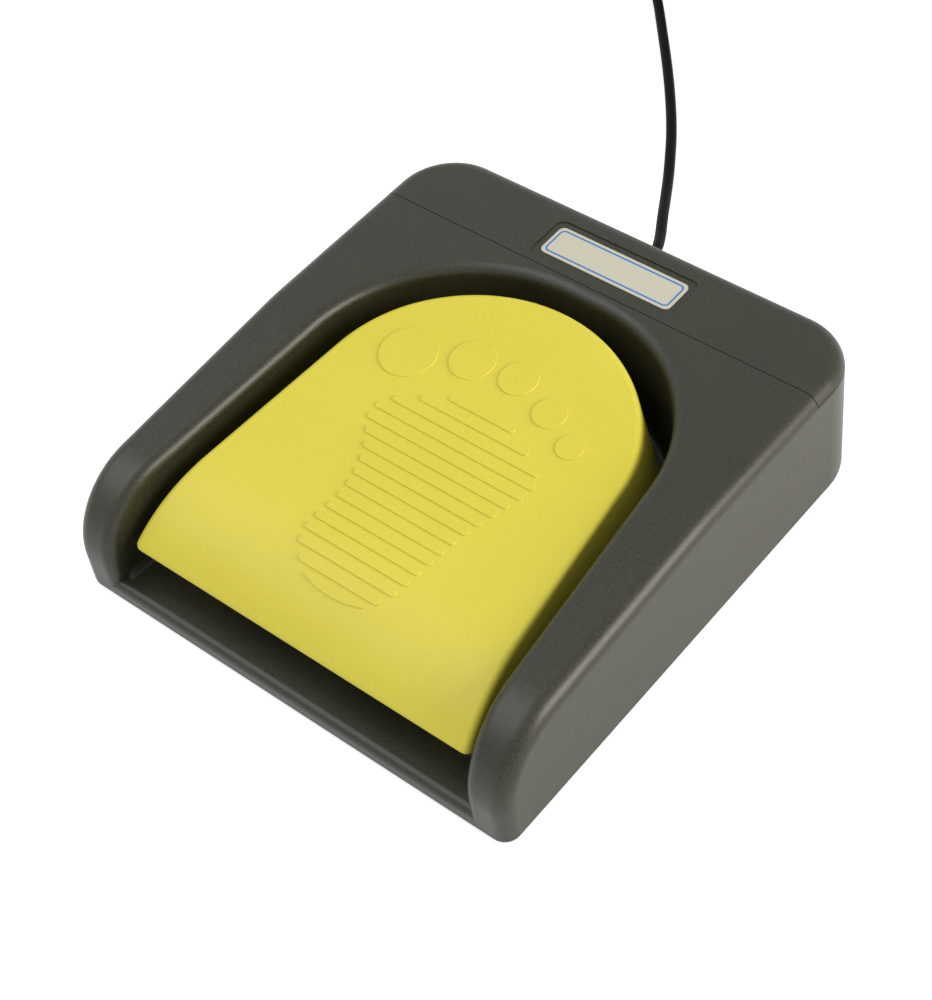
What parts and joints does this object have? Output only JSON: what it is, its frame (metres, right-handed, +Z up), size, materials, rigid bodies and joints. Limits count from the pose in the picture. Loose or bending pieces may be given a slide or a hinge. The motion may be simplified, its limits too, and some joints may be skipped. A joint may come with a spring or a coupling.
{
  "type": "usb foot pedal switch",
  "caption": "USB foot pedal switch: yellow foot-shaped-relief pedal in a dark grey low housing, with hinge, spring, microswitch, circuit board and coiled cable with plug",
  "frame": {"origin": "centre of the bounding box's bottom face without the cord: on the ground under the feet, midway between the sides and between the front and rear faces", "axes": "X to the right across the width, Y from the front to the rear where the cable leaves, Z up"},
  "size_m": [0.1756, 0.3377, 0.0369],
  "materials": {
    "housing_plastic": "fine grained, dark grey",
    "pedal_plastic": "smooth satin, yellow",
    "plate_steel": "dark grey powder coat",
    "label_film": "cream film with a thin border",
    "screw_steel": "zinc plated",
    "foot_rubber": "soft matte black",
    "axle_steel": "ground",
    "bracket_steel": "pressed sheet",
    "spring_steel": "drawn wire",
    "lever_steel": "thin strip",
    "crystal_steel": "drawn can",
    "shell_steel": "nickel plated",
    "switch_plastic": "dark grey",
    "plunger_plastic": "red",
    "contact_brass": "bare",
    "wire_plastic": "smooth insulation",
    "board_laminate": "green solder mask",
    "capacitor_film": "dark blue sleeve",
    "socket_plastic": "off-white",
    "cord_rubber": "satin black",
    "tie_plastic": "black"
  },
  "bodies": {
    "housing": {"main_housing": "housing_plastic", "rear_cover": "housing_plastic", "base_plate": "plate_steel", "blank_label": "label_film", "base_screws": "screw_steel", "rubber_feet": "foot_rubber", "cover_screws": "screw_steel", "hinge_axle": "axle_steel", "axle_clips": "axle_steel", "hinge_bracket_left": "bracket_steel", "hinge_bracket_right": "bracket_steel", "bracket_screws": "screw_steel", "return_spring": "spring_steel", "stop_pads": "foot_rubber", "switch_body": "switch_plastic", "switch_terminals": "contact_brass", "switch_screws": "screw_steel", "switch_wires": "wire_plastic", "circuit_board": "board_laminate", "board_screws": "screw_steel", "controller_chip": "switch_plastic", "crystal": "crystal_steel", "capacitors": "capacitor_film", "cable_header": "socket_plastic", "cable_connector": "socket_plastic", "inner_cable": "cord_rubber", "cable_wires": "wire_plastic", "cable_clamp": "switch_plastic", "clamp_screws": "screw_steel", "strain_relief": "cord_rubber", "cord_stretch": "cord_rubber", "cord_coil": "cord_rubber", "cord_tail": "cord_rubber", "cord_tie": "tie_plastic", "plug_body": "cord_rubber", "plug_shell": "shell_steel", "plug_tongue": "socket_plastic", "plug_contacts": "contact_brass"},
    "pedal": {"foot_pedal": "pedal_plastic", "actuator_arm": "bracket_steel", "arm_screws": "screw_steel"},
    "lever": {"switch_lever": "lever_steel"},
    "plunger": {"switch_plunger": "plunger_plastic"}
  },
  "joints": [
    {"name": "pedal_hinge", "type": "hinge", "parent": "housing", "child": "pedal", "pos_m": [0, -0.0518, 0.013], "axis": [1, 0, 0], "range_deg": [-2.5, 0], "stiffness_Nm_per_rad": 5.9, "springref_deg": 6.13, "deforming": ["return_spring"]},
    {"name": "lever_hinge", "type": "hinge", "parent": "housing", "child": "lever", "pos_m": [0.022, 0.0562, 0.017], "axis": [0, 1, 0], "range_deg": [-12.4, 0]},
    {"name": "plunger_slide", "type": "slide", "parent": "housing", "child": "plunger", "axis": [0, 0, 1], "range_m": [-0.00109, 0]}
  ],
  "couplings": [
    {"joint": "lever_hinge", "follows": "pedal_hinge", "ratio": 4.92},
    {"joint": "plunger_slide", "follows": "pedal_hinge", "m_per_rad": 0.0245}
  ]
}
